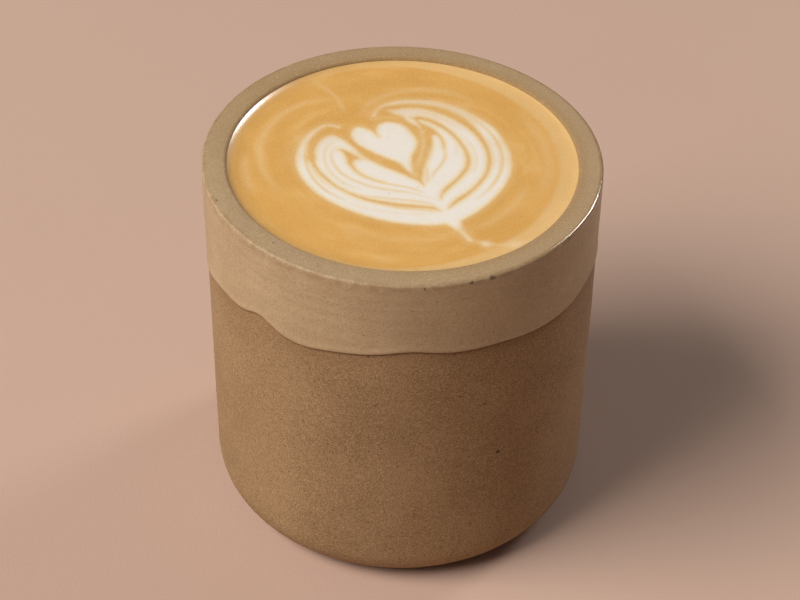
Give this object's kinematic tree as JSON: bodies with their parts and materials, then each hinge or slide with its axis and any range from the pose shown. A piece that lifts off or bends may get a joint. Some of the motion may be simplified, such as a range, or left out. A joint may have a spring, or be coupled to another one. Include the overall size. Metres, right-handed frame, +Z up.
{
  "type": "latte in a stoneware tumbler",
  "caption": "Milky coffee with a poured tulip of milk foam, filled to the brim of a straight, half-glazed stoneware tumbler without a handle.",
  "frame": {"origin": "middle of the foot, on the surface the tumbler stands on", "axes": "+Z up along the tumbler's axis, +Y away from the drinker who looks at the heart, +X to their right"},
  "size_m": [0.085, 0.085, 0.087],
  "materials": {
    "raw_clay": "matte, speckled, unglazed",
    "satin_glaze": "satin",
    "coffee": "wet, fine foam",
    "milk": "wet, fine foam"
  },
  "bodies": {
    "root": {"cup": "raw_clay", "glaze": "satin_glaze", "coffee": "coffee", "milk_foam": "milk"}
  },
  "joints": []
}
